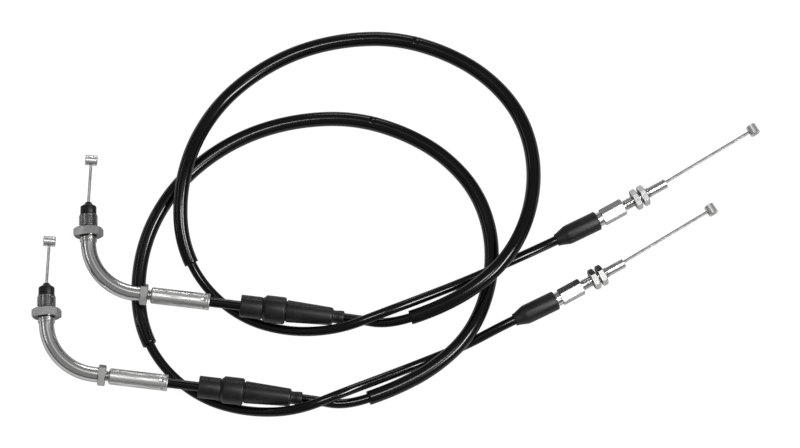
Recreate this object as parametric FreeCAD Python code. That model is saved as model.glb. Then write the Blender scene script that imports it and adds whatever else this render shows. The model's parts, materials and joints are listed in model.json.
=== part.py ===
import FreeCAD
import Part
import math
import os
from FreeCAD import Placement, Rotation, Vector

# A pair of identical motorcycle throttle cables, laid in loops on a flat surface. The upper cable
# rests on the lower one wherever the two cross. Millimetres, +Z up, z = 0 is the surface. Each
# cable runs from the grip end (bent tube with a swivel union) to the carburettor end (hexagonal
# fitting with a threaded stud), and one steel wire slides through it from end to end.

os.makedirs("parts", exist_ok=True)

# Clearances
thread_gap = 0.05        # radial, between a thread's crest and the plain bore of its nut
spin_gap = 0.1           # radial, between a tube and what turns on it
nest_gap = 0.05          # radial, between layers that stay put on one another
boot_gap = 0.35          # radial, between a rubber boot and what passes through it
seat_gap = 0.15          # axial, between faces of pieces that move apart
cut_past = 1.0           # how far a cutting shape reaches past the face that it opens

# Wire and conduit, from the inside out
wire_radius = 0.75
liner_bore_gap = 0.2
liner_wall = 0.3
armour_wall = 0.45
jacket_wall = 0.7
conduit_radius = 2.5
sleeve_gap = 0.25        # radial, between the conduit and the protective sleeve
sleeve_wall = 1.05

# Bent tube at the grip end
tube_radius = 4.0
tube_wall = 1.0
bend_radius = 28.0
tube_straight = 2.3      # straight stretch between the bend and the tube's shoulder
upper_leg_heading = 90.0  # direction of the tube's upper leg in plan, degrees from +X
spigot_radius = 3.3      # reduced end that the union turns on and the dust cap grips
spigot_bore = 2.4
tube_end_gap = 6.0       # from the tube's shoulder to the barrel's left face

# Adjuster stub, lock nut and barrel (M6 x 1)
fine_crest = 2.9
fine_pitch = 1.0
stub_bore = 1.6
stub_engagement = 13.0   # length of the stub inside the barrel
lock_nut_across = 10.0
lock_nut_height = 4.0
barrel_length = 31.0
barrel_radius = 4.3
barrel_chamfer = 0.7
barrel_thread_depth = 16.0
rim_length = 1.2         # crimped rim at the barrel's right face
rim_round = 0.5
rim_swell = 0.15
socket_radius = 2.95     # holds the conduit's end ferrule
conduit_seat = 18.6      # from the barrel's left face to the end of the conduit
ferrule_wall = 0.25
ferrule_length = 9.0
dimple_count = 6
dimple_radius = 1.9
dimple_depth = 0.7
dimple_inset = 3.3       # from the barrel's right face

# Swivel union on the upper leg (M10 x 1.25, 14 mm across flats)
union_across = 14.0
union_hex_height = 4.6
union_crest = 5.0
union_pitch = 1.25
union_thread_length = 7.5
union_turn = 11.6        # degrees that the hexagon is turned from flat side up
stop_ring_length = 2.7
stop_ring_radius = 4.5

# Dust cap
cap_radius = 4.25
cap_length = 5.2
cap_roof = 1.8
cap_slope = 1.2          # length of the sloping shoulder between the cap's side and its nozzle
nozzle_radius = 2.2
nozzle_tip_radius = 1.35
nozzle_length = 1.3
nozzle_hole = 0.95

# Grip boot, lengths along it from its mouth
boot_distance = 47.3     # from the barrel's left face to the boot's mouth
boot_mouth_radius = 5.9
boot_mouth_length = 11.9
boot_band_radius = 7.2
boot_band_length = 12.0
boot_band_slope = 1.5     # length of the sloping shoulder in front of the band
boot_neck_radius = 5.9      # where the tapered neck starts, and next where it ends
boot_neck_end_radius = 4.75
boot_neck_length = 25.0
boot_collar_radius = 3.5
boot_collar_length = 5.8
boot_groove_width = 0.5
boot_groove_depth = 0.5
boot_wide_depth = 34.0   # depth of the wide bore that swallows the barrel
boot_bore_slope = 1.5    # length of the slope at the end of that bore

# Wires' free ends
grip_wire_lean = 3.8     # degrees that the grip wire leans from the tube's axis, towards +X
grip_wire_cross = 0.1    # below the nozzle's tip, where the wire crosses the tube's axis
grip_wire_reach = 21.4   # length of the sliding wire inside the nozzle's tip
grip_nipple_distance = 22.8   # from the nozzle's tip to the nipple's centre
carb_wire_lean = 2.35
carb_wire_cross = 14.0   # inside the stud's mouth, where the wire crosses the stud's axis
carb_wire_reach = 6.5
carb_nipple_distance = 54.1
nipple_radius = 2.7
grip_nipple_length = 6.5
carb_nipple_length = 5.6
nipple_chamfer = 0.4

# Carburettor fitting (8 mm across flats, stud M6 x 1), lengths from the neck's rear end
fitting_turn = 2.96      # degrees that the fitting points up from the conduit's own line
fitting_pivot = 4.5      # from the conduit's end back to where the two axes cross
neck_radius = 3.6
neck_inside = 6.0        # part of the neck covered by the boot
neck_showing = 2.6
body_across = 8.0
body_length = 12.8
body_turn = 22.0
body_socket_radius = 3.15
thread_length = 16.1
pilot_radius = 2.45
pilot_length = 9.5
stud_bore = 1.6
carb_nut_across = 10.0
carb_nut_height = 3.2
inner_nut_distance = 6.1      # from the hexagonal body to the inner nut
nut_spacing = 1.1
inner_nut_turn = 17.8
outer_nut_turn = 17.8

# Carburettor boot
carb_boot_radius = 5.15
carb_boot_length = 18.1
carb_boot_cone = 6.3
carb_boot_tail_radius = 3.3
carb_boot_mouth_depth = 7.0
carb_boot_lip = 1.2      # length of the thin lip at the tail

# Centreline points of the two conduits, from the grip end to the carburettor end
lower_route = [
    (-131.94, -63.3, 12.8), (-102.35, -66.9, 12.8), (-72.77, -70.45, 12.8), (-43.17, -73.95, 12.8),
    (-26.4, -76.7, 10.9), (-1.9, -68.1, 10.3), (20.6, -56.1, 10.8), (39.6, -37.6, 10.6),
    (49.6, -11.1, 5), (51.1, 15.9, 3.9), (43.1, 41.4, 3.8), (25.6, 61.4, 3.8),
    (3.1, 74.4, 3.8), (-21.9, 81.4, 3.8), (-47.4, 80.9, 3.8), (-72.4, 74.9, 3.8),
    (-95.4, 62.9, 3.8), (-114.9, 45.4, 3.8), (-128.9, 22.9, 3.8), (-135.4, -2.6, 3.8),
    (-134.4, -30.1, 3.8), (-123.4, -53.1, 3.8), (-102.9, -70.6, 2.5), (-78.4, -78.6, 4.5),
    (-52.4, -81.7, 18), (-28.4, -71.9, 18.8), (-4.9, -60.6, 10.2), (17.6, -49.6, 2.6),
    (37.22, -41.42, 2.7), (55.01, -32.28, 5.65), (72.04, -23.85, 5.65), (88.6, -15.6, 5.65),
]
upper_route = [
    (-109.94, -19.35, 13), (-80.35, -22.94, 13), (-50.77, -26.49, 13), (-21.17, -29.99, 13),
    (-4.4, -33.1, 12.6), (20.1, -26.1, 15.8), (42.6, -14.6, 19.4), (61.1, 3.9, 19.5),
    (71.6, 30.4, 13.5), (73.1, 58.9, 6.5), (65.1, 84.9, 3.9), (47.6, 104.9, 3.8),
    (25.1, 117.9, 3.8), (0.1, 124.9, 3.8), (-25.4, 124.4, 3.8), (-50.4, 118.4, 3.8),
    (-73.4, 106.4, 3.8), (-92.9, 88.9, 5.2), (-106.9, 64.4, 12.4), (-113.4, 38.4, 13.4),
    (-112.4, 12.4, 9), (-101.4, -9.4, 3.4), (-80.9, -27.3, 2.6), (-56.4, -35.6, 6.4),
    (-30.4, -37.6, 18.5), (-6.9, -28.6, 19.7), (17.1, -18.1, 15.2), (39.6, -8.1, 12),
    (59.22, 1.08, 11.9), (77.01, 10.22, 8.8), (94.04, 18.65, 8.8), (110.6, 26.9, 8.8),
]
sleeve_points = (4, 20)  # the sleeve starts and ends at the middles of the runs after these points
arc_share = 0.45         # share of the shorter run that each tangent arc takes

# Radii that follow from the sizes above
jacket_bore = conduit_radius - jacket_wall
armour_radius = jacket_bore - nest_gap
armour_bore = armour_radius - armour_wall
liner_radius = armour_bore - nest_gap
liner_bore = wire_radius + liner_bore_gap
sleeve_bore = conduit_radius + sleeve_gap
sleeve_radius = sleeve_bore + sleeve_wall

# Threads and hexagons
thread_depth_share = 0.613   # depth of a groove, as a share of the pitch
chamfer_bite = 0.1       # how far a hexagon's end chamfer cuts into its flat sides
chamfer_angle = 30.0     # degrees


def save(name, shape):
    shape.exportStep("parts/" + name + ".step")
    solids = len(shape.Solids)
    print(name, "solids", solids, "valid", shape.isValid(), "volume", round(shape.Volume, 1))


# Shapes along the local X axis

def turned(outline):
    """Solid of revolution about X from a closed outline of (x, radius) corners."""
    corners = [Vector(x, r, 0) for x, r in outline]
    wire = Part.makePolygon(corners + corners[:1])
    return Part.Face(wire).revolve(Vector(0, 0, 0), Vector(1, 0, 0), 360)


def rod(x0, x1, radius):
    return Part.makeCylinder(radius, x1 - x0, Vector(x0, 0, 0), Vector(1, 0, 0))


def thread_outline(x0, x1, crest, pitch):
    """Corners of ring grooves cut between x0 and x1, whose lands keep the crest radius."""
    root = crest - thread_depth_share * pitch
    turns = int((x1 - x0) / pitch)
    start = x0 + ((x1 - x0) - turns * pitch) / 2
    corners = [(x0, root), (start, root)] if start > x0 + 0.01 else [(x0, root)]
    for turn in range(turns):
        x = start + turn * pitch
        corners += [(x + 0.375 * pitch, crest), (x + 0.5 * pitch, crest), (x + 0.875 * pitch, root)]
        corners += [(x + pitch, root)]
    if corners[-1][0] < x1 - 0.01:
        corners.append((x1, root))
    return corners


def hexagon(x0, x1, across, bore, turn):
    """Hexagonal prism with chamfered corners; turn 0 puts a flat side up."""
    sides = 6
    corner = across / (2 * math.cos(math.pi / sides))
    angles = [math.radians(360 / sides * i + turn) for i in range(sides + 1)]
    ring = [Vector(x0, corner * math.cos(a), corner * math.sin(a)) for a in angles]
    prism = Part.Face(Part.makePolygon(ring)).extrude(Vector(x1 - x0, 0, 0))
    face = across / 2 - chamfer_bite
    drop = (corner - face) * math.tan(math.radians(chamfer_angle))
    shell = turned([(x0, bore), (x0, face), (x0 + drop, corner), (x1 - drop, corner),
                    (x1, face), (x1, bore)])
    return prism.common(shell)


def placed(shape, frame):
    copy = shape.copy()
    copy.Placement = frame.multiply(copy.Placement)
    return copy


def frame_at(point, heading):
    return Placement(point, Rotation(Vector(0, 0, 1), heading))


def heading_of(direction):
    return math.degrees(math.atan2(direction.y, direction.x))


def ahead(point, heading, distance):
    a = math.radians(heading)
    return point + Vector(math.cos(a), math.sin(a), 0) * distance


# Tubes along a route of straight runs joined by tangent arcs

def route_edges(points):
    """(run or point index, edge) pairs along the route, with the bend radii."""
    edges = []
    radii = []
    previous = points[0]
    for i in range(1, len(points) - 1):
        before = points[i] - points[i - 1]
        after = points[i + 1] - points[i]
        tangent = arc_share * min(before.Length, after.Length)
        before.normalize()
        after.normalize()
        half_turn = before.getAngle(after) / 2
        radius = tangent / math.tan(half_turn)
        start = points[i] - before * tangent
        end = points[i] + after * tangent
        inward = (after - before).normalize()
        middle = points[i] + inward * (radius / math.cos(half_turn) - radius)
        edges.append((i - 1, Part.LineSegment(previous, start).toShape()))
        edges.append((i - 0.5, Part.Arc(start, middle, end).toShape()))
        radii.append(radius)
        previous = end
    edges.append((i, Part.LineSegment(previous, points[-1]).toShape()))
    return edges, radii


def sweep(wire, radius):
    start = wire.OrderedVertexes[0].Point
    edge = wire.OrderedEdges[0]
    direction = edge.tangentAt(edge.FirstParameter)
    disc = Part.Face(Part.Wire(Part.Circle(start, direction, radius).toShape()))
    return wire.makePipe(disc)


def layer(wire, radius, bore):
    return sweep(wire, radius).cut(sweep(wire, bore)).Solids[0]


def report_tube(name, shape, wire, radius, bore):
    section = math.pi * (radius ** 2 - bore ** 2)
    expected = section * wire.Length
    print(name, "length", round(wire.Length, 1), "volume / section x length",
          round(shape.Volume / expected, 4))


def build_conduit(prefix, points):
    edges, radii = route_edges(points)
    print(prefix, "bend radii", [round(r) for r in radii], "smallest", round(min(radii), 1))
    wire = Part.Wire([edge for index, edge in edges])
    start, stop = sleeve_points
    first = (points[start] + points[start + 1]) * 0.5
    last = (points[stop] + points[stop + 1]) * 0.5
    covered = [edge for index, edge in edges if start + 0.4 < index < stop - 0.4]
    lead_in = Part.LineSegment(first, covered[0].Vertexes[0].Point).toShape()
    lead_out = Part.LineSegment(covered[-1].Vertexes[-1].Point, last).toShape()
    sleeve_wire = Part.Wire([lead_in] + covered + [lead_out])
    layers = [("conduit_jacket", wire, conduit_radius, jacket_bore),
              ("spiral_armour", wire, armour_radius, armour_bore),
              ("conduit_liner", wire, liner_radius, liner_bore),
              ("protective_sleeve", sleeve_wire, sleeve_radius, sleeve_bore)]
    for name, path, radius, bore in layers:
        shape = layer(path, radius, bore)
        report_tube(prefix + name, shape, path, radius, bore)
        save(prefix + name, shape)
    core = sweep(wire, wire_radius)
    report_tube(prefix + "inner_wire", core, wire, wire_radius, 0)
    save(prefix + "inner_wire", core)


# Grip end

def bend_tangent(leg_turn):
    """Distance along either axis from the tube's corner to the start of its bend."""
    return bend_radius * math.tan(math.radians(180 - leg_turn) / 2)


def elbow_path(start_x, arc_share_used, leg_end, leg_turn):
    """Wire in the grip frame from start_x on the barrel's axis round the bend to leg_end."""
    turn = math.radians(180 - leg_turn) * arc_share_used
    bend_x = -tube_end_gap - tube_straight
    centre = Vector(bend_x, bend_radius, 0)

    def on_arc(angle):
        return centre + Vector(-math.sin(angle), -math.cos(angle), 0) * bend_radius

    edges = [Part.LineSegment(Vector(start_x, 0, 0), Vector(bend_x, 0, 0)).toShape(),
             Part.Arc(Vector(bend_x, 0, 0), on_arc(turn / 2), on_arc(turn)).toShape()]
    tangent = bend_tangent(leg_turn)
    if leg_end > tangent:
        leg = math.radians(leg_turn)
        along_leg = Vector(math.cos(leg), math.sin(leg), 0)
        tip = Vector(bend_x - tangent, 0, 0) + along_leg * leg_end
        edges.append(Part.LineSegment(on_arc(turn), tip).toShape())
    return Part.Wire(edges)


def build_grip_end(prefix, points):
    line = points[1] - points[0]
    heading = heading_of(line)
    origin = ahead(points[0], heading, -conduit_seat)
    grip = frame_at(origin, heading)
    leg_turn = upper_leg_heading - heading
    bend_end = bend_tangent(leg_turn)
    corner = ahead(origin, heading, -tube_end_gap - tube_straight - bend_end)
    leg = frame_at(corner, upper_leg_heading)

    # stations up the leg from the corner
    shoulder = bend_end + seat_gap + stop_ring_length
    hex_start = shoulder + seat_gap
    hex_end = hex_start + union_hex_height
    union_end = hex_end + union_thread_length
    cap_start = union_end + seat_gap
    cap_end = cap_start + cap_length
    spigot_end = cap_end - cap_roof - nest_gap
    tip = cap_end + nozzle_length

    # bent tube with its spigot, shoulder and threaded stub
    to_leg = grip.inverse().multiply(leg)
    outer = sweep(elbow_path(-tube_end_gap, 1.0, shoulder, leg_turn), tube_radius)
    inner = sweep(elbow_path(-tube_end_gap - 0.001, 1.0, shoulder - tube_wall, leg_turn),
                  tube_radius - tube_wall)
    spigot = placed(rod(shoulder - 0.001, spigot_end, spigot_radius), to_leg)
    spigot_hole = rod(shoulder - tube_wall - cut_past / 2, spigot_end + cut_past, spigot_bore)
    spigot_hole = placed(spigot_hole, to_leg)
    stub_thread = thread_outline(-tube_end_gap + 0.2, stub_engagement - 0.5, fine_crest, fine_pitch)
    stub = turned([(-tube_end_gap - 1, 0)] + [(-tube_end_gap - 1, tube_radius - tube_wall)]
                  + [(-tube_end_gap, tube_radius - tube_wall)] + stub_thread
                  + [(stub_engagement, fine_crest - 0.7), (stub_engagement, 0)])
    stub_hole = rod(-tube_end_gap - 2 * cut_past, stub_engagement + cut_past, stub_bore)
    tube = outer.cut(inner).fuse([spigot, stub]).cut([spigot_hole, stub_hole]).removeSplitter()
    save(prefix + "bent_tube", placed(tube.Solids[0], grip))

    # plastic liner and the length of wire that stays in the bend
    bend_line = Part.Wire(elbow_path(stub_engagement - 0.5, 0.8, 0, leg_turn).OrderedEdges)
    bend_liner = layer(bend_line, stub_bore - nest_gap, liner_bore)
    save(prefix + "bend_liner", placed(bend_liner, grip))
    save(prefix + "bend_wire", placed(sweep(bend_line, wire_radius), grip))

    # stop ring under the union: two beads on one sleeve
    x0 = bend_end + seat_gap / 2
    x1 = shoulder
    half = (x1 - x0) / 2
    ring = [(x0, tube_radius + nest_gap)]
    for bead in (x0, x0 + half):
        ring += [(bead, stop_ring_radius - 0.25), (bead + 0.25, stop_ring_radius),
                 (bead + half - 0.25, stop_ring_radius), (bead + half - 0.001, stop_ring_radius - 0.25)]
    ring += [(x1, tube_radius + nest_gap)]
    save(prefix + "stop_ring", placed(turned(ring), leg))

    # swivel union: hexagon and M10 thread in one piece, free to turn on the spigot
    bore = spigot_radius + spin_gap
    nut = hexagon(hex_start, hex_end, union_across, bore, union_turn)
    crests = thread_outline(hex_end + 0.3, union_end - 0.6, union_crest, union_pitch)
    root = union_crest - thread_depth_share * union_pitch
    thread = turned([(hex_end - 0.5, bore), (hex_end - 0.5, root)] + crests
                    + [(union_end - 0.5, union_crest - 0.3), (union_end, root), (union_end, bore)])
    save(prefix + "swivel_union", placed(nut.fuse(thread).removeSplitter().Solids[0], leg))

    # rubber dust cap with its nozzle, pierced along the leaning wire
    wire_heading = upper_leg_heading - grip_wire_lean
    cross = ahead(corner, upper_leg_heading, tip - grip_wire_cross)
    wire_frame = frame_at(cross, wire_heading)
    inside = spigot_radius + nest_gap
    slope_start = cap_end - cap_slope
    cap = turned([(cap_start, inside), (cap_start, cap_radius), (slope_start - 0.4, cap_radius),
                  (slope_start, cap_radius - 0.2), (cap_end, nozzle_radius + 0.1),
                  (cap_end + 0.1, nozzle_radius), (tip - 0.3, nozzle_tip_radius + 0.2),
                  (tip, nozzle_tip_radius), (tip, 0),
                  (cap_end - cap_roof, 0), (cap_end - cap_roof, inside)])
    hole = placed(rod(-nozzle_length - cap_length, nozzle_length, nozzle_hole), wire_frame)
    save(prefix + "dust_cap", placed(cap, leg).cut(hole).Solids[0])

    # sliding wire and its barrel nipple
    reach = grip_wire_reach - grip_wire_cross
    nipple_at = grip_nipple_distance + grip_wire_cross
    build_wire_end(prefix + "grip_", wire_frame, -reach, nipple_at, grip_nipple_length)

    # lock nut on the stub
    nut_end = -tube_end_gap + seat_gap + lock_nut_height
    lock = hexagon(-tube_end_gap + seat_gap, nut_end, lock_nut_across, fine_crest + thread_gap, 0)
    save(prefix + "lock_nut", placed(lock, grip))

    # adjuster barrel: threaded bore, waist for the wire, socket for the ferrule, crimped rim
    ferrule_radius = conduit_radius + nest_gap + ferrule_wall
    socket_floor = conduit_seat - ferrule_wall - seat_gap
    shell = turned([(0, fine_crest + thread_gap), (0, barrel_radius - barrel_chamfer),
                    (barrel_chamfer, barrel_radius), (barrel_length - rim_length, barrel_radius),
                    (barrel_length - rim_round, barrel_radius + rim_swell),
                    (barrel_length, barrel_radius - rim_swell), (barrel_length, socket_radius),
                    (socket_floor, socket_radius), (socket_floor, stub_bore),
                    (barrel_thread_depth, stub_bore), (barrel_thread_depth, fine_crest + thread_gap)])
    dimples = []
    for i in range(dimple_count):
        a = math.radians(360 / dimple_count * i + 30)
        height = barrel_radius + dimple_radius - dimple_depth
        centre = Vector(barrel_length - dimple_inset, height * math.cos(a), height * math.sin(a))
        dimples.append(Part.makeSphere(dimple_radius, centre))
    save(prefix + "adjuster_barrel", placed(shell.cut(dimples).Solids[0], grip))

    # steel ferrule on the end of the conduit
    build_ferrule(prefix + "grip_ferrule", grip, conduit_seat, 1, ferrule_radius)

    # rubber boot on the conduit
    x0 = boot_distance
    x1 = x0 + boot_mouth_length
    x2 = x1 + boot_band_length
    x3 = x2 + boot_neck_length
    x4 = x3 + boot_collar_length
    wide = barrel_radius + boot_gap
    narrow = conduit_radius + boot_gap
    g = boot_groove_width
    d = boot_groove_depth
    outline = [(x0, wide), (x0, boot_mouth_radius - 0.8), (x0 + 0.3, boot_mouth_radius - 0.25),
               (x0 + 0.9, boot_mouth_radius), (x1 - g, boot_mouth_radius),
               (x1 - g / 2, boot_mouth_radius - d), (x1, boot_mouth_radius),
               (x1 + boot_band_slope, boot_band_radius - 0.1),
               (x1 + boot_band_slope + 0.4, boot_band_radius), (x2 - 0.9, boot_band_radius),
               (x2 - 0.3, boot_band_radius - 0.3), (x2, boot_neck_radius + 0.5),
               (x2, boot_neck_radius - d), (x2 + g, boot_neck_radius - d),
               (x2 + g, boot_neck_radius), (x3 - 1.0, boot_neck_end_radius),
               (x3 - 0.3, boot_neck_end_radius - 0.35), (x3, boot_collar_radius + 0.1),
               (x3 + 0.3, boot_collar_radius - 0.1), (x3 + 2.6, boot_collar_radius - 0.1),
               (x3 + 2.9, boot_collar_radius + 0.1), (x4 - 0.3, boot_collar_radius + 0.1),
               (x4, boot_collar_radius - 0.2), (x4, narrow),
               (x0 + boot_wide_depth + boot_bore_slope, narrow),
               (x0 + boot_wide_depth, wide)]
    save(prefix + "grip_boot", placed(turned(outline), grip))


def build_ferrule(name, frame, conduit_end, side, radius):
    """Cup over the conduit's end; side is +1 when the conduit runs towards +X of the frame."""
    bottom = conduit_end - side * ferrule_wall
    brim = conduit_end + side * ferrule_length
    cup = turned([(bottom, liner_bore), (bottom, radius), (brim, radius),
                  (brim, radius - ferrule_wall), (conduit_end, radius - ferrule_wall),
                  (conduit_end, liner_bore)])
    save(name, placed(cup, frame))


def build_wire_end(prefix, frame, start, nipple_at, nipple_length):
    """Straight wire along the frame's X axis with a barrel nipple across its end."""
    end = nipple_at + nipple_radius - 0.5
    save(prefix + "wire", placed(rod(start, end, wire_radius), frame))
    half = nipple_length / 2
    c = nipple_chamfer
    body = turned([(-half, 0), (-half, nipple_radius - c), (-half + c, nipple_radius),
                   (half - c, nipple_radius), (half, nipple_radius - c), (half, 0)])
    across = placed(body, Placement(Vector(nipple_at, 0, 0), Rotation(Vector(0, 0, 1), 90)))
    reach = nipple_radius + cut_past
    drilled = across.cut(rod(nipple_at - reach, nipple_at + reach, wire_radius + nest_gap))
    save(prefix + "nipple", placed(drilled.Solids[0], frame))


# Carburettor end

def build_carb_end(prefix, points):
    end = points[-1]
    conduit_heading = heading_of(end - points[-2])
    conduit = frame_at(end, conduit_heading)
    heading = conduit_heading + fitting_turn
    pivot = ahead(end, conduit_heading, -fitting_pivot)
    origin = ahead(pivot, heading, -0.4)
    fitting = frame_at(origin, heading)

    # neck, hexagonal body, threaded stud and its plain pilot in one piece
    body_start = neck_showing
    body_end = body_start + body_length
    thread_end = body_end + thread_length
    mouth = thread_end + pilot_length
    socket_end = fitting_pivot + 0.4 + ferrule_wall + 0.75
    crests = thread_outline(body_end + 0.4, thread_end, fine_crest, fine_pitch)
    blank = turned([(-neck_inside, 0), (-neck_inside, neck_radius), (body_start + 0.5, neck_radius),
                    (body_end - 0.5, neck_radius - 0.3), (body_end, neck_radius - 0.3),
                    (body_end + 0.3, fine_crest - 0.5)] + crests
                   + [(thread_end + 0.01, pilot_radius), (mouth - 0.3, pilot_radius),
                      (mouth, pilot_radius - 0.3), (mouth, 0)])
    block = hexagon(body_start, body_end, body_across, 0, body_turn)
    socket = rod(-neck_inside - cut_past, socket_end, body_socket_radius)
    passage = rod(socket_end - cut_past, mouth + cut_past, stud_bore)
    body = blank.fuse(block).cut([socket, passage]).removeSplitter()
    save(prefix + "carb_fitting", placed(body.Solids[0], fitting))

    # two jam nuts that clamp the bracket
    first = body_end + inner_nut_distance
    second = first + carb_nut_height + nut_spacing
    bore = fine_crest + thread_gap
    inner = hexagon(first, first + carb_nut_height, carb_nut_across, bore, inner_nut_turn)
    outer = hexagon(second, second + carb_nut_height, carb_nut_across, bore, outer_nut_turn)
    save(prefix + "carb_inner_nut", placed(inner, fitting))
    save(prefix + "carb_outer_nut", placed(outer, fitting))

    # sliding wire and its nipple
    cross = ahead(origin, heading, mouth - carb_wire_cross)
    wire_frame = frame_at(cross, heading + carb_wire_lean)
    build_wire_end(prefix + "carb_", wire_frame, carb_wire_cross - carb_wire_reach,
                   carb_wire_cross + carb_nipple_distance, carb_nipple_length)

    # steel ferrule on the end of the conduit
    build_ferrule(prefix + "carb_ferrule", conduit, 0, -1,
                  conduit_radius + nest_gap + ferrule_wall)

    # rubber boot over the neck
    mouth_x = -fitting_pivot - 0.4
    x0 = mouth_x - carb_boot_length - carb_boot_cone
    x1 = x0 + carb_boot_cone
    wide = neck_radius + boot_gap + 0.15
    narrow = conduit_radius + boot_gap
    depth = carb_boot_mouth_depth
    outline = [(x0, narrow), (x0, carb_boot_tail_radius - 0.15), (x0 + 0.3, carb_boot_tail_radius),
               (x0 + carb_boot_lip, carb_boot_tail_radius + 0.1), (x1 - 0.4, carb_boot_radius - 0.15),
               (x1 + 0.6, carb_boot_radius), (mouth_x - 0.5, carb_boot_radius),
               (mouth_x, carb_boot_radius - 0.4), (mouth_x, wide), (mouth_x - depth, wide),
               (mouth_x - depth - 1, narrow)]
    save(prefix + "carb_boot", placed(turned(outline), conduit))


for prefix, route in (("lower_", lower_route), ("upper_", upper_route)):
    points = [Vector(*p) for p in route]
    build_conduit(prefix, points)
    build_grip_end(prefix, points)
    build_carb_end(prefix, points)
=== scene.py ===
import bmesh
import bpy
import json
import math
from mathutils import Matrix, Vector


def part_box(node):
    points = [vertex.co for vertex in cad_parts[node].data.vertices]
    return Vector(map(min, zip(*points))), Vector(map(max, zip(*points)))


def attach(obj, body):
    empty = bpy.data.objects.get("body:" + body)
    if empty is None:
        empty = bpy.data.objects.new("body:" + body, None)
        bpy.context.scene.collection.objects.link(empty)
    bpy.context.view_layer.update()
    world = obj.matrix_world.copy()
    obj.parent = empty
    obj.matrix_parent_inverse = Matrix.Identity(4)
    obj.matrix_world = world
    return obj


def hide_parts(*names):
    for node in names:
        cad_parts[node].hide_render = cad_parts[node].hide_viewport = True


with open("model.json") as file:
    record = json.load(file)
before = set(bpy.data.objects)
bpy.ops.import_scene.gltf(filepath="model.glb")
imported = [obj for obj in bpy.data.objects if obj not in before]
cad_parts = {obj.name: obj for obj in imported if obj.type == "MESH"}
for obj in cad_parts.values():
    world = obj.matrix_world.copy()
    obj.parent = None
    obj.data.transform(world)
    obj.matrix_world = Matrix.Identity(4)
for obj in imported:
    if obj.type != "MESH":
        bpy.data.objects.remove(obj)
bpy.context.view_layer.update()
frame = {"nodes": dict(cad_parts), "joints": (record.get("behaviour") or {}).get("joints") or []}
nodes = frame["nodes"]
print("frame loaded:", len(nodes), "nodes")

# Centrelines of the two conduits, grip end first, in metres
routes = {
    "lower": [
        (-0.13194, -0.0633, 0.0128), (-0.10235, -0.0669, 0.0128), (-0.07277, -0.07045, 0.0128),
        (-0.04317, -0.07395, 0.0128), (-0.0264, -0.0767, 0.0109), (-0.0019, -0.0681, 0.0103),
        (0.0206, -0.0561, 0.0108), (0.0396, -0.0376, 0.0106), (0.0496, -0.0111, 0.005),
        (0.0511, 0.0159, 0.0039), (0.0431, 0.0414, 0.0038), (0.0256, 0.0614, 0.0038),
        (0.0031, 0.0744, 0.0038), (-0.0219, 0.0814, 0.0038), (-0.0474, 0.0809, 0.0038),
        (-0.0724, 0.0749, 0.0038), (-0.0954, 0.0629, 0.0038), (-0.1149, 0.0454, 0.0038),
        (-0.1289, 0.0229, 0.0038), (-0.1354, -0.0026, 0.0038), (-0.1344, -0.0301, 0.0038),
        (-0.1234, -0.0531, 0.0038), (-0.1029, -0.0706, 0.0025), (-0.0784, -0.0786, 0.0045),
        (-0.0524, -0.0817, 0.018), (-0.0284, -0.0719, 0.0188), (-0.0049, -0.0606, 0.0102),
        (0.0176, -0.0496, 0.0026), (0.03722, -0.04142, 0.0027), (0.05501, -0.03228, 0.00565),
        (0.07204, -0.02385, 0.00565), (0.0886, -0.0156, 0.00565),
    ],
    "upper": [
        (-0.10994, -0.01935, 0.013), (-0.08035, -0.02294, 0.013), (-0.05077, -0.02649, 0.013),
        (-0.02117, -0.02999, 0.013), (-0.0044, -0.0331, 0.0126), (0.0201, -0.0261, 0.0158),
        (0.0426, -0.0146, 0.0194), (0.0611, 0.0039, 0.0195), (0.0716, 0.0304, 0.0135),
        (0.0731, 0.0589, 0.0065), (0.0651, 0.0849, 0.0039), (0.0476, 0.1049, 0.0038),
        (0.0251, 0.1179, 0.0038), (0.0001, 0.1249, 0.0038), (-0.0254, 0.1244, 0.0038),
        (-0.0504, 0.1184, 0.0038), (-0.0734, 0.1064, 0.0038), (-0.0929, 0.0889, 0.0052),
        (-0.1069, 0.0644, 0.0124), (-0.1134, 0.0384, 0.0134), (-0.1124, 0.0124, 0.009),
        (-0.1014, -0.0094, 0.0034), (-0.0809, -0.0273, 0.0026), (-0.0564, -0.0356, 0.0064),
        (-0.0304, -0.0376, 0.0185), (-0.0069, -0.0286, 0.0197), (0.0171, -0.0181, 0.0152),
        (0.0396, -0.0081, 0.012), (0.05922, 0.00108, 0.0119), (0.07701, 0.01022, 0.0088),
        (0.09404, 0.01865, 0.0088), (0.1106, 0.0269, 0.0088),
    ],
}
conduit = {
    "radius": 0.0025, "insideBarrel": 0.0124, "lengths": {"lower": 0.789, "upper": 0.791},
    "readSteps": 24, "drawSteps": 12, "roundSteps": 10,
}


# Materials, all built from nodes on Object coordinates

toneSpan = (0.3, 0.7)  # the part of the noise's range that the tones spread over
plasticTones = (0.75, 1.3)  # darkest and lightest plastic, as shares of its base


def newMaterial(name, **values):
    material = bpy.data.materials.new(name)
    material.use_nodes = True
    shader = material.node_tree.nodes["Principled BSDF"]
    for socket, value in values.items():
        shader.inputs[socket.replace("_", " ")].default_value = value
    return material, material.node_tree.nodes, material.node_tree.links, shader


def grey(level):
    return (level, level, level, 1.0)


def warm(level, tint):
    return (level * (1 + tint), level, level * (1 - tint), 1.0)


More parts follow.
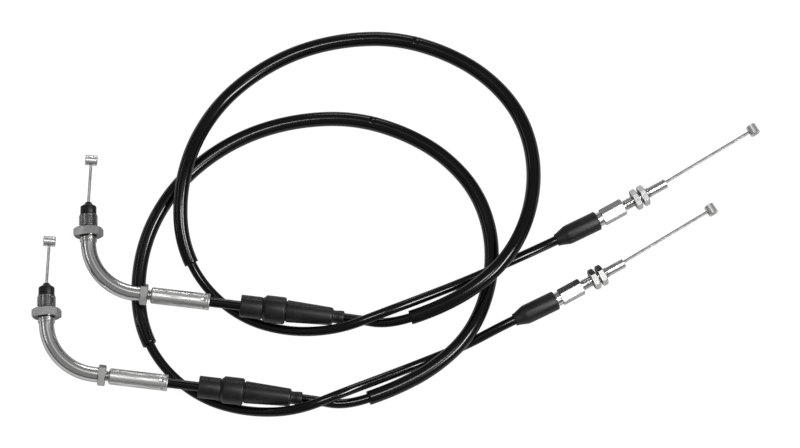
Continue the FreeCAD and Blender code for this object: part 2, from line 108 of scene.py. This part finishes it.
def noiseOn(nodeSet, links, scale, detail, stretch=(1, 1, 1), turn=0.0):
    where = nodeSet.new("ShaderNodeTexCoord")
    turned = nodeSet.new("ShaderNodeMapping")
    turned.vector_type = "TEXTURE"
    turned.inputs["Rotation"].default_value = (0, 0, turn)
    stretched = nodeSet.new("ShaderNodeMapping")
    stretched.inputs["Scale"].default_value = stretch
    noise = nodeSet.new("ShaderNodeTexNoise")
    noise.inputs["Scale"].default_value = scale
    noise.inputs["Detail"].default_value = detail
    links.new(where.outputs["Object"], turned.inputs["Vector"])
    links.new(turned.outputs["Vector"], stretched.inputs["Vector"])
    links.new(stretched.outputs["Vector"], noise.inputs["Vector"])
    return noise


def ramp(nodeSet, links, source, low, high, tint=0.0):
    node = nodeSet.new("ShaderNodeValToRGB")
    for stop, position, level in zip(node.color_ramp.elements, toneSpan, (low, high)):
        stop.position = position
        stop.color = warm(level, tint)
    links.new(source, node.inputs["Fac"])
    return node


def bumpFrom(nodeSet, links, shader, source, distance):
    bump = nodeSet.new("ShaderNodeBump")
    bump.inputs["Distance"].default_value = distance
    links.new(source, bump.inputs["Height"])
    links.new(bump.outputs["Normal"], shader.inputs["Normal"])


def plasticMaterial(name, look):
    material, nodeSet, links, shader = newMaterial(
        name, Specular_IOR_Level=0.5, IOR=look["ior"])
    tone = noiseOn(nodeSet, links, look["toneScale"], detail=4)
    dark, light = (look["base"] * share for share in plasticTones)
    shade = ramp(nodeSet, links, tone.outputs["Fac"], dark, light)
    links.new(shade.outputs["Color"], shader.inputs["Base Color"])
    rough = ramp(nodeSet, links, tone.outputs["Fac"],
                 look["roughness"] - look["spread"], look["roughness"] + look["spread"])
    links.new(rough.outputs["Color"], shader.inputs["Roughness"])
    grain = noiseOn(nodeSet, links, look["grainScale"], detail=2)
    bumpFrom(nodeSet, links, shader, grain.outputs["Fac"], look["grain"])
    return material


def metalMaterial(name, look, turn=0.0):
    material, nodeSet, links, shader = newMaterial(
        name, Metallic=1.0, Specular_Tint=grey(look["edge"]))
    tone = noiseOn(nodeSet, links, look["toneScale"], detail=3, stretch=look["stretch"], turn=turn)
    shade = ramp(nodeSet, links, tone.outputs["Fac"],
                 look["base"] - look["shift"], look["base"] + look["shift"], look["tint"])
    links.new(shade.outputs["Color"], shader.inputs["Base Color"])
    rough = ramp(nodeSet, links, tone.outputs["Fac"],
                 look["roughness"] + look["spread"], look["roughness"] - look["spread"])
    links.new(rough.outputs["Color"], shader.inputs["Roughness"])
    grain = noiseOn(nodeSet, links, look["grainScale"], detail=2, stretch=look["stretch"],
                    turn=turn)
    bumpFrom(nodeSet, links, shader, grain.outputs["Fac"], look["grain"])
    return material


jacketLook = {"base": 0.0012, "ior": 1.38, "roughness": 0.12, "spread": 0.02,
              "toneScale": 60, "grainScale": 110, "grain": 0.000006}
sleeveLook = {"base": 0.0015, "ior": 1.36, "roughness": 0.16, "spread": 0.05,
              "toneScale": 45, "grainScale": 90, "grain": 0.00001}
rubberLook = {"base": 0.006, "ior": 1.4, "roughness": 0.42, "spread": 0.05,
              "toneScale": 160, "grainScale": 2200, "grain": 0.000025}
capLook = {"base": 0.004, "ior": 1.35, "roughness": 0.4, "spread": 0.06,
           "toneScale": 300, "grainScale": 2400, "grain": 0.00002}
linerLook = {"base": 0.62, "ior": 1.5, "roughness": 0.4, "spread": 0.06,
             "toneScale": 200, "grainScale": 1500, "grain": 0.00001}
zincLook = {"base": 0.66, "shift": 0.045, "tint": 0.004, "edge": 0.3,
            "roughness": 0.18, "spread": 0.03, "stretch": (1, 1, 1),
            "toneScale": 120, "grainScale": 150, "grain": 0.000004}
unionLook = dict(zincLook, base=0.46, shift=0.06)
barrelLook = {"base": 0.64, "shift": 0.26, "tint": 0.006, "edge": 0.4,
              "roughness": 0.36, "spread": 0.12, "stretch": (0.1, 1, 1),
              "toneScale": 1100, "grainScale": 900, "grain": 0.00004}
nippleLook = {"base": 0.74, "shift": 0.06, "tint": 0.01, "edge": 0.4,
              "roughness": 0.3, "spread": 0.04, "stretch": (1, 1, 1),
              "toneScale": 300, "grainScale": 300, "grain": 0.000002}
wireLook = {"base": 0.27, "shift": 0.05, "tint": 0.0, "edge": 0.4,
            "roughness": 0.45, "spread": 0.05, "stretch": (1, 1, 1),
            "toneScale": 400, "grainScale": 400, "grain": 0.000002}
armourLook = dict(wireLook, base=0.5, roughness=0.4)
gripHeading = math.radians(-6.93)  # the barrels lie this way, so their brushing does too

glossyVinyl = plasticMaterial("glossyVinyl", jacketLook)
sleeveVinyl = plasticMaterial("sleeveVinyl", sleeveLook)
bootRubber = plasticMaterial("bootRubber", rubberLook)
capRubber = plasticMaterial("capRubber", capLook)
linerPlastic = plasticMaterial("linerPlastic", linerLook)
zincPlate = metalMaterial("zincPlate", zincLook)
unionPlate = metalMaterial("unionPlate", unionLook)
brushedSteel = metalMaterial("brushedSteel", barrelLook, gripHeading)
nippleAlloy = metalMaterial("nippleAlloy", nippleLook)
wireSteel = metalMaterial("wireSteel", wireLook)
armourSteel = metalMaterial("armourSteel", armourLook)
print("materials made")

finishes = {
    "conduit_jacket": glossyVinyl, "spiral_armour": armourSteel, "conduit_liner": linerPlastic,
    "protective_sleeve": sleeveVinyl, "inner_wire": wireSteel, "bent_tube": zincPlate,
    "bend_liner": linerPlastic, "bend_wire": wireSteel, "stop_ring": zincPlate,
    "swivel_union": unionPlate, "dust_cap": capRubber, "grip_wire": wireSteel,
    "grip_nipple": nippleAlloy, "lock_nut": unionPlate, "adjuster_barrel": brushedSteel,
    "grip_ferrule": armourSteel, "grip_boot": bootRubber, "carb_fitting": zincPlate,
    "carb_inner_nut": zincPlate, "carb_outer_nut": zincPlate, "carb_wire": wireSteel,
    "carb_nipple": nippleAlloy, "carb_ferrule": armourSteel, "carb_boot": bootRubber,
}
for cable in routes:
    for part, finish in finishes.items():
        for materialSlot in nodes[cable + "_" + part].material_slots:
            materialSlot.link = "OBJECT"
            materialSlot.material = finish


# Conduits: one smooth line through the route's points, with the jacket's radius

def routeCurve(name, points, steps):
    curve = bpy.data.curves.new(name, "CURVE")
    curve.dimensions = "3D"
    curve.resolution_u = steps
    spline = curve.splines.new("NURBS")
    spline.points.add(len(points) - 1)
    for point, place in zip(spline.points, points):
        point.co = (*place, 1.0)
    spline.order_u = 3
    spline.use_endpoint_u = True
    return curve


def linkPiece(name, data, material):
    piece = bpy.data.objects.new(name, data)
    bpy.context.scene.collection.objects.link(piece)
    data.materials.append(material)
    return piece


jackets = {}
centrelines = {}
for cable, route in routes.items():
    lineCurve = routeCurve(cable + "Line", route, conduit["readSteps"])
    line = bpy.data.objects.new(cable + "Line", lineCurve)
    bpy.context.scene.collection.objects.link(line)
    readBack = bpy.data.meshes.new_from_object(line)
    centrelines[cable] = [vertex.co.copy() for vertex in readBack.vertices]
    bpy.data.objects.remove(line)
    jacketCurve = routeCurve(cable + "_jacket", route, conduit["drawSteps"])
    jacketCurve.bevel_depth = conduit["radius"]
    jacketCurve.bevel_resolution = conduit["roundSteps"]
    jacketCurve.use_fill_caps = True
    jackets[cable] = linkPiece(cable + "_jacket", jacketCurve, glossyVinyl)
    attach(jackets[cable], cable + "_cable")
    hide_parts(cable + "_conduit_jacket")
print("jackets laid,", len(centrelines["lower"]), "points read back")


# Ways of making a mesh: a ring drawn along places, and an outline turned about its axis

def frameAt(place, ahead):
    x = ahead.normalized()
    z = (Vector((0, 0, 1)) - x * x.z).normalized()
    return Matrix.Translation(place) @ Matrix((x, z.cross(x), z)).transposed().to_4x4()


def drawRing(mesh, places):
    ring = mesh.verts[:]
    edges = mesh.edges[:]
    before = Matrix.Identity(4)
    for i, place in enumerate(places):
        if i:
            grown = bmesh.ops.extrude_edge_only(mesh, edges=edges)["geom"]
            ring = [part for part in grown if isinstance(part, bmesh.types.BMVert)]
            edges = [part for part in grown if isinstance(part, bmesh.types.BMEdge)
                     and all(end in ring for end in part.verts)]
        bmesh.ops.transform(mesh, matrix=place @ before.inverted(), verts=ring)
        before = place


def circleAcross(segments, radius):
    mesh = bmesh.new()
    bmesh.ops.create_circle(mesh, segments=segments, radius=radius)
    bmesh.ops.rotate(mesh, verts=mesh.verts[:], matrix=Matrix.Rotation(math.radians(90), 3, "Y"))
    return mesh


def finishPiece(mesh, name, material, body, replaced):
    bmesh.ops.recalc_face_normals(mesh, faces=mesh.faces[:])
    data = bpy.data.meshes.new(name)
    mesh.to_mesh(data)
    mesh.free()
    data.shade_smooth()
    piece = linkPiece(name, data, material)
    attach(piece, body)
    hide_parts(replaced)
    return piece


def turnOutline(outline, place, steps, soft):
    mesh = bmesh.new()
    corners = [mesh.verts.new((x, 0, radius)) for x, radius in outline]
    edges = [mesh.edges.new(pair) for pair in zip(corners, corners[1:] + corners[:1])]
    bmesh.ops.spin(mesh, geom=corners + edges, cent=(0, 0, 0), axis=(1, 0, 0),
                   angle=math.radians(360), steps=steps, use_merge=True)
    bmesh.ops.recalc_face_normals(mesh, faces=mesh.faces[:])
    sharp = [edge for edge in mesh.edges if edge.calc_face_angle(0) > math.radians(18)]
    bmesh.ops.bevel(mesh, geom=sharp, offset=soft, offset_type="OFFSET", segments=3,
                    profile=0.5, affect="EDGES", clamp_overlap=True, material=-1)
    bmesh.ops.transform(mesh, matrix=place, verts=mesh.verts[:])
    return mesh


# Protective sleeves: soft tubes over the loops, each with one fold where it was packed

sleeve = {
    "radius": 0.0038, "wall": 0.0008, "segments": 48,
    "start": 4.0, "end": 20.0, "fold": {"lower": 12.12, "upper": 12.07},  # in spans of the route
    "foldLength": 0.0012, "foldWidth": 0.003, "foldDepth": 0.0006,
    "foldLean": math.radians(28),  # towards the outside of the loop
}


def pressFold(mesh, place, ahead):
    up = Matrix.Rotation(sleeve["foldLean"], 3, ahead) @ Vector((0, 0, 1))
    side = ahead.cross(up)
    for vertex in mesh.verts:
        offset = vertex.co - place
        along = offset.dot(ahead)
        outward = (offset - ahead * along).normalized()
        if abs(along) < 5 * sleeve["foldLength"] and outward.dot(up) > 0:
            near = (along / sleeve["foldLength"]) ** 2
            near += (offset.dot(side) / sleeve["foldWidth"]) ** 2
            vertex.co -= outward * sleeve["foldDepth"] * (1 - near) * math.exp(-near)


sleeves = {}
for cable, route in routes.items():
    line = centrelines[cable]
    perSpan = (len(line) - 1) / (len(route) - 2)
    covered = line[round(sleeve["start"] * perSpan):round(sleeve["end"] * perSpan) + 1]
    places = [frameAt(covered[i], covered[min(i + 1, len(covered) - 1)] - covered[max(i - 1, 0)])
              for i in range(len(covered))]
    mesh = circleAcross(sleeve["segments"], sleeve["radius"])
    drawRing(mesh, places)
    folded = round(sleeve["fold"][cable] * perSpan)
    pressFold(mesh, line[folded], (line[folded + 1] - line[folded - 1]).normalized())
    sleeves[cable] = finishPiece(mesh, cable + "_sleeve", sleeveVinyl, cable + "_cable",
                                 cable + "_protective_sleeve")
    wall = sleeves[cable].modifiers.new("wall", "SOLIDIFY")
    wall.thickness = sleeve["wall"]
    wall.offset = -1
print("sleeves fitted")


# Rubber boots and dust caps: outlines of (length along the axis, radius) from their mouths

gripBoot = {
    "distance": 0.0287, "steps": 96, "soft": 0.0003,
    "outline": [
        (0.0, 0.00465), (0.0, 0.0056), (0.0004, 0.0059), (0.0113, 0.0059), (0.0116, 0.0054),
        (0.0119, 0.0058), (0.0134, 0.0071), (0.0139, 0.0072), (0.0231, 0.0072), (0.0239, 0.0066),
        (0.0239, 0.0053), (0.0245, 0.0053), (0.0245, 0.0059), (0.0479, 0.00475), (0.0487, 0.0043),
        (0.0489, 0.0036), (0.0493, 0.0034), (0.0514, 0.0034), (0.0518, 0.0036), (0.0543, 0.0036),
        (0.0547, 0.0033), (0.0547, 0.00285), (0.0355, 0.00285), (0.034, 0.00465)],
}
carbBoot = {
    "distance": 0.0293, "steps": 96, "soft": 0.0003,
    "outline": [
        (0.0, 0.00285), (0.0, 0.0032), (0.0004, 0.00335), (0.0013, 0.00345), (0.0059, 0.00495),
        (0.0071, 0.00515), (0.0238, 0.00515), (0.0244, 0.0047), (0.0244, 0.0041), (0.0174, 0.0041),
        (0.0164, 0.00285)],
}
dustCap = {
    "steps": 72, "soft": 0.00025,
    "outline": [
        (0.0, 0.00335), (0.0, 0.00425), (0.0038, 0.00425), (0.0042, 0.004), (0.0052, 0.0023),
        (0.0053, 0.0022), (0.0062, 0.00165), (0.0065, 0.00135), (0.0065, 0.00102),
        (0.0034, 0.00102), (0.0034, 0.00335)],
}
for cable, route in routes.items():
    start, end = Vector(route[0]), Vector(route[-1])
    out = (Vector(route[1]) - start).normalized()
    back = (Vector(route[-2]) - end).normalized()
    place = frameAt(start + out * gripBoot["distance"], out)
    mesh = turnOutline(gripBoot["outline"], place, gripBoot["steps"], gripBoot["soft"])
    finishPiece(mesh, cable + "_boot", bootRubber, cable + "_grip_boot", cable + "_grip_boot")
    place = frameAt(end + back * carbBoot["distance"], -back)
    mesh = turnOutline(carbBoot["outline"], place, carbBoot["steps"], carbBoot["soft"])
    finishPiece(mesh, cable + "_fitting_boot", bootRubber, cable + "_carb_boot",
                cable + "_carb_boot")
    low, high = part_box(cable + "_dust_cap")
    place = frameAt(Vector(((low.x + high.x) / 2, low.y, (low.z + high.z) / 2)), Vector((0, 1, 0)))
    mesh = turnOutline(dustCap["outline"], place, dustCap["steps"], dustCap["soft"])
    finishPiece(mesh, cable + "_cap", capRubber, cable + "_elbow", cable + "_dust_cap")
print("boots and caps turned")


# Stranded wires at both ends: twelve outer strands laid round a core

strand = {
    "count": 12, "around": 6, "radius": 0.00075, "step": 0.00035,
    "twist": 10.5,  # degrees for each step
}
runs = {"grip_wire": "grip_wire_slide", "carb_wire": "carb_wire_slide"}


def strandedWire(low, high, axis):
    share = math.sin(math.pi / strand["count"])
    thick = strand["radius"] * share / (1 + share)
    middle = strand["radius"] - thick
    mesh = circleAcross(strand["count"] * strand["around"], 1.0)
    for vertex in mesh.verts:
        turn = math.atan2(vertex.co.z, vertex.co.y) % math.radians(360 / strand["count"])
        turn -= math.radians(180 / strand["count"])
        reach = middle * math.cos(turn)
        reach += math.sqrt(max(thick ** 2 - (middle * math.sin(turn)) ** 2, 0))
        vertex.co *= reach
    across = math.hypot(axis.x, axis.z)
    length = (high.y - low.y - 2 * strand["radius"] * across) / abs(axis.y)
    first = (low + high) / 2 - axis * (length / 2)
    count = round(length / strand["step"])
    upright = frameAt(Vector(), axis)
    places = [Matrix.Translation(first + axis * (length * i / count)) @ upright
              @ Matrix.Rotation(math.radians(strand["twist"] * i), 4, "X")
              for i in range(count + 1)]
    drawRing(mesh, places)
    bmesh.ops.holes_fill(mesh, edges=mesh.edges[:], sides=0)
    return mesh


slides = {joint["name"]: Vector(joint["axis"]) for joint in frame["joints"]}
for cable in routes:
    for wireName, slideName in runs.items():
        low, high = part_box(cable + "_" + wireName)
        axis = slides[cable + "_" + slideName].normalized()
        mesh = strandedWire(low, high, axis)
        finishPiece(mesh, cable + "_" + wireName + "_strands", wireSteel,
                    cable + "_" + wireName, cable + "_" + wireName)
print("wires stranded")


# Floor, light and camera

studio = {
    "floorSize": 4.0,
    "plain": (0.0, 0.8), "mirrored": (0.2, 0.4), "seen": (0.97, 0.07),  # the paper's glow and grey
    "sky": [(0.0, 0.06), (0.3, 0.14), (0.6, 0.31), (1.0, 0.22)],  # height and grey
}
floorMesh = bmesh.new()
bmesh.ops.create_grid(floorMesh, x_segments=1, y_segments=1, size=studio["floorSize"] / 2)
floorData = bpy.data.meshes.new("floor")
floorMesh.to_mesh(floorData)
floorMesh.free()
floorPaint = bpy.data.materials.new("palePaper")
floorPaint.use_nodes = True
paperNodes, paperLinks = floorPaint.node_tree.nodes, floorPaint.node_tree.links
paperNodes.clear()
paperOut = paperNodes.new("ShaderNodeOutputMaterial")
rays = paperNodes.new("ShaderNodeLightPath")


def paperShade(glowLevel, baseLevel):
    glow = paperNodes.new("ShaderNodeEmission")
    glow.inputs["Color"].default_value = grey(1.0)
    glow.inputs["Strength"].default_value = glowLevel
    base = paperNodes.new("ShaderNodeBsdfDiffuse")
    base.inputs["Color"].default_value = grey(baseLevel)
    both = paperNodes.new("ShaderNodeAddShader")
    paperLinks.new(glow.outputs[0], both.inputs[0])
    paperLinks.new(base.outputs[0], both.inputs[1])
    return both


def paperMix(chosen, plain, other):
    mix = paperNodes.new("ShaderNodeMixShader")
    paperLinks.new(chosen, mix.inputs[0])
    paperLinks.new(plain.outputs[0], mix.inputs[1])
    paperLinks.new(other.outputs[0], mix.inputs[2])
    return mix


plainPaper = paperShade(*studio["plain"])
mirroredPaper = paperShade(*studio["mirrored"])
seenPaper = paperShade(*studio["seen"])
mirrored = paperNodes.new("ShaderNodeMath")
mirrored.operation = "MAXIMUM"
paperLinks.new(rays.outputs["Is Glossy Ray"], mirrored.inputs[0])
paperLinks.new(rays.outputs["Is Transmission Ray"], mirrored.inputs[1])
paper = paperMix(mirrored.outputs[0], plainPaper, mirroredPaper)
paper = paperMix(rays.outputs["Is Camera Ray"], paper, seenPaper)
paperLinks.new(paper.outputs[0], paperOut.inputs[0])
floorPaint.cycles.emission_sampling = "NONE"
floor = linkPiece("floor", floorData, floorPaint)

world = bpy.data.worlds.new("studio")
bpy.context.scene.world = world
world.use_nodes = True
world.cycles.sampling_method = "NONE"
skyNodes, skyLinks = world.node_tree.nodes, world.node_tree.links
skyWhere = skyNodes.new("ShaderNodeTexCoord")
split = skyNodes.new("ShaderNodeSeparateXYZ")
skyRamp = skyNodes.new("ShaderNodeValToRGB")
for height, level in studio["sky"][1:-1]:
    skyRamp.color_ramp.elements.new(height)
for stop, (height, level) in zip(skyRamp.color_ramp.elements, studio["sky"]):
    stop.position = height
    stop.color = grey(level)
skyLinks.new(skyWhere.outputs["Generated"], split.inputs[0])
skyLinks.new(split.outputs["Z"], skyRamp.inputs["Fac"])
skyLinks.new(skyRamp.outputs["Color"], skyNodes["Background"].inputs["Color"])

# Each lamp: where it aims, its direction and distance from there, which way its length runs,
# its length, width and glow
lamps = {
    "keyRight": ((0, 0.04, 0), (0.6, -0.17, 0.79), 3.0, (0, 1, 0), 1.55, 0.52, 36.0),
    "keyNear": ((0, 0.04, 0), (0.43, -0.3, 0.85), 3.0, (1, 0.2, 0), 0.7, 0.12, 6.0),
    "nearTop": ((0, 0, 0), (0.14, -0.04, 0.985), 3.0, (1, 0, 0), 0.6, 0.34, 30.0),
    "soft": ((0, 0, 0), (0.0, 0.1, 0.99), 1.1, (1, 0, 0), 0.6, 0.4, 0.5),
    "leftLow": ((0, 0, 0), (-0.84, 0.26, 0.48), 1.1, (0, 1, 0), 0.8, 0.1, 3.0),
    "farLow": ((0, 0.1, 0), (0.07, 0.94, 0.32), 1.1, (1, 0, 0), 0.35, 0.14, 9.0),
}
for name, (aim, toward, distance, run, long, wide, glowing) in lamps.items():
    lampData = bpy.data.lights.new(name, "AREA")
    lampData.shape = "RECTANGLE"
    lampData.size, lampData.size_y = long, wide
    lampData.energy = glowing * math.pi * long * wide
    lamp = bpy.data.objects.new(name, lampData)
    bpy.context.scene.collection.objects.link(lamp)
    lampBack = Vector(toward).normalized()
    along = Vector(run)
    along = (along - lampBack * along.dot(lampBack)).normalized()
    lamp.matrix_world = Matrix.Translation(Vector(aim) + lampBack * distance) @ Matrix(
        (along, lampBack.cross(along), lampBack)).transposed().to_4x4()
    lamp.visible_camera = False

shot = {"target": (0.00231, 0.0234, 0.00626), "elevation": 75.0, "distance": 1.2, "width": 0.42}
cameraData = bpy.data.cameras.new("camera")
cameraData.type = "ORTHO"
cameraData.ortho_scale = shot["width"]
camera = bpy.data.objects.new("camera", cameraData)
bpy.context.scene.collection.objects.link(camera)
up = math.radians(shot["elevation"])
back = Vector((0, -math.cos(up), math.sin(up)))
camera.location = Vector(shot["target"]) + back * shot["distance"]
camera.rotation_mode = "QUATERNION"
camera.rotation_quaternion = (-back).to_track_quat("-Z", "Y")
bpy.context.scene.camera = camera
bpy.context.scene.view_settings.view_transform = "Standard"
print("studio set")
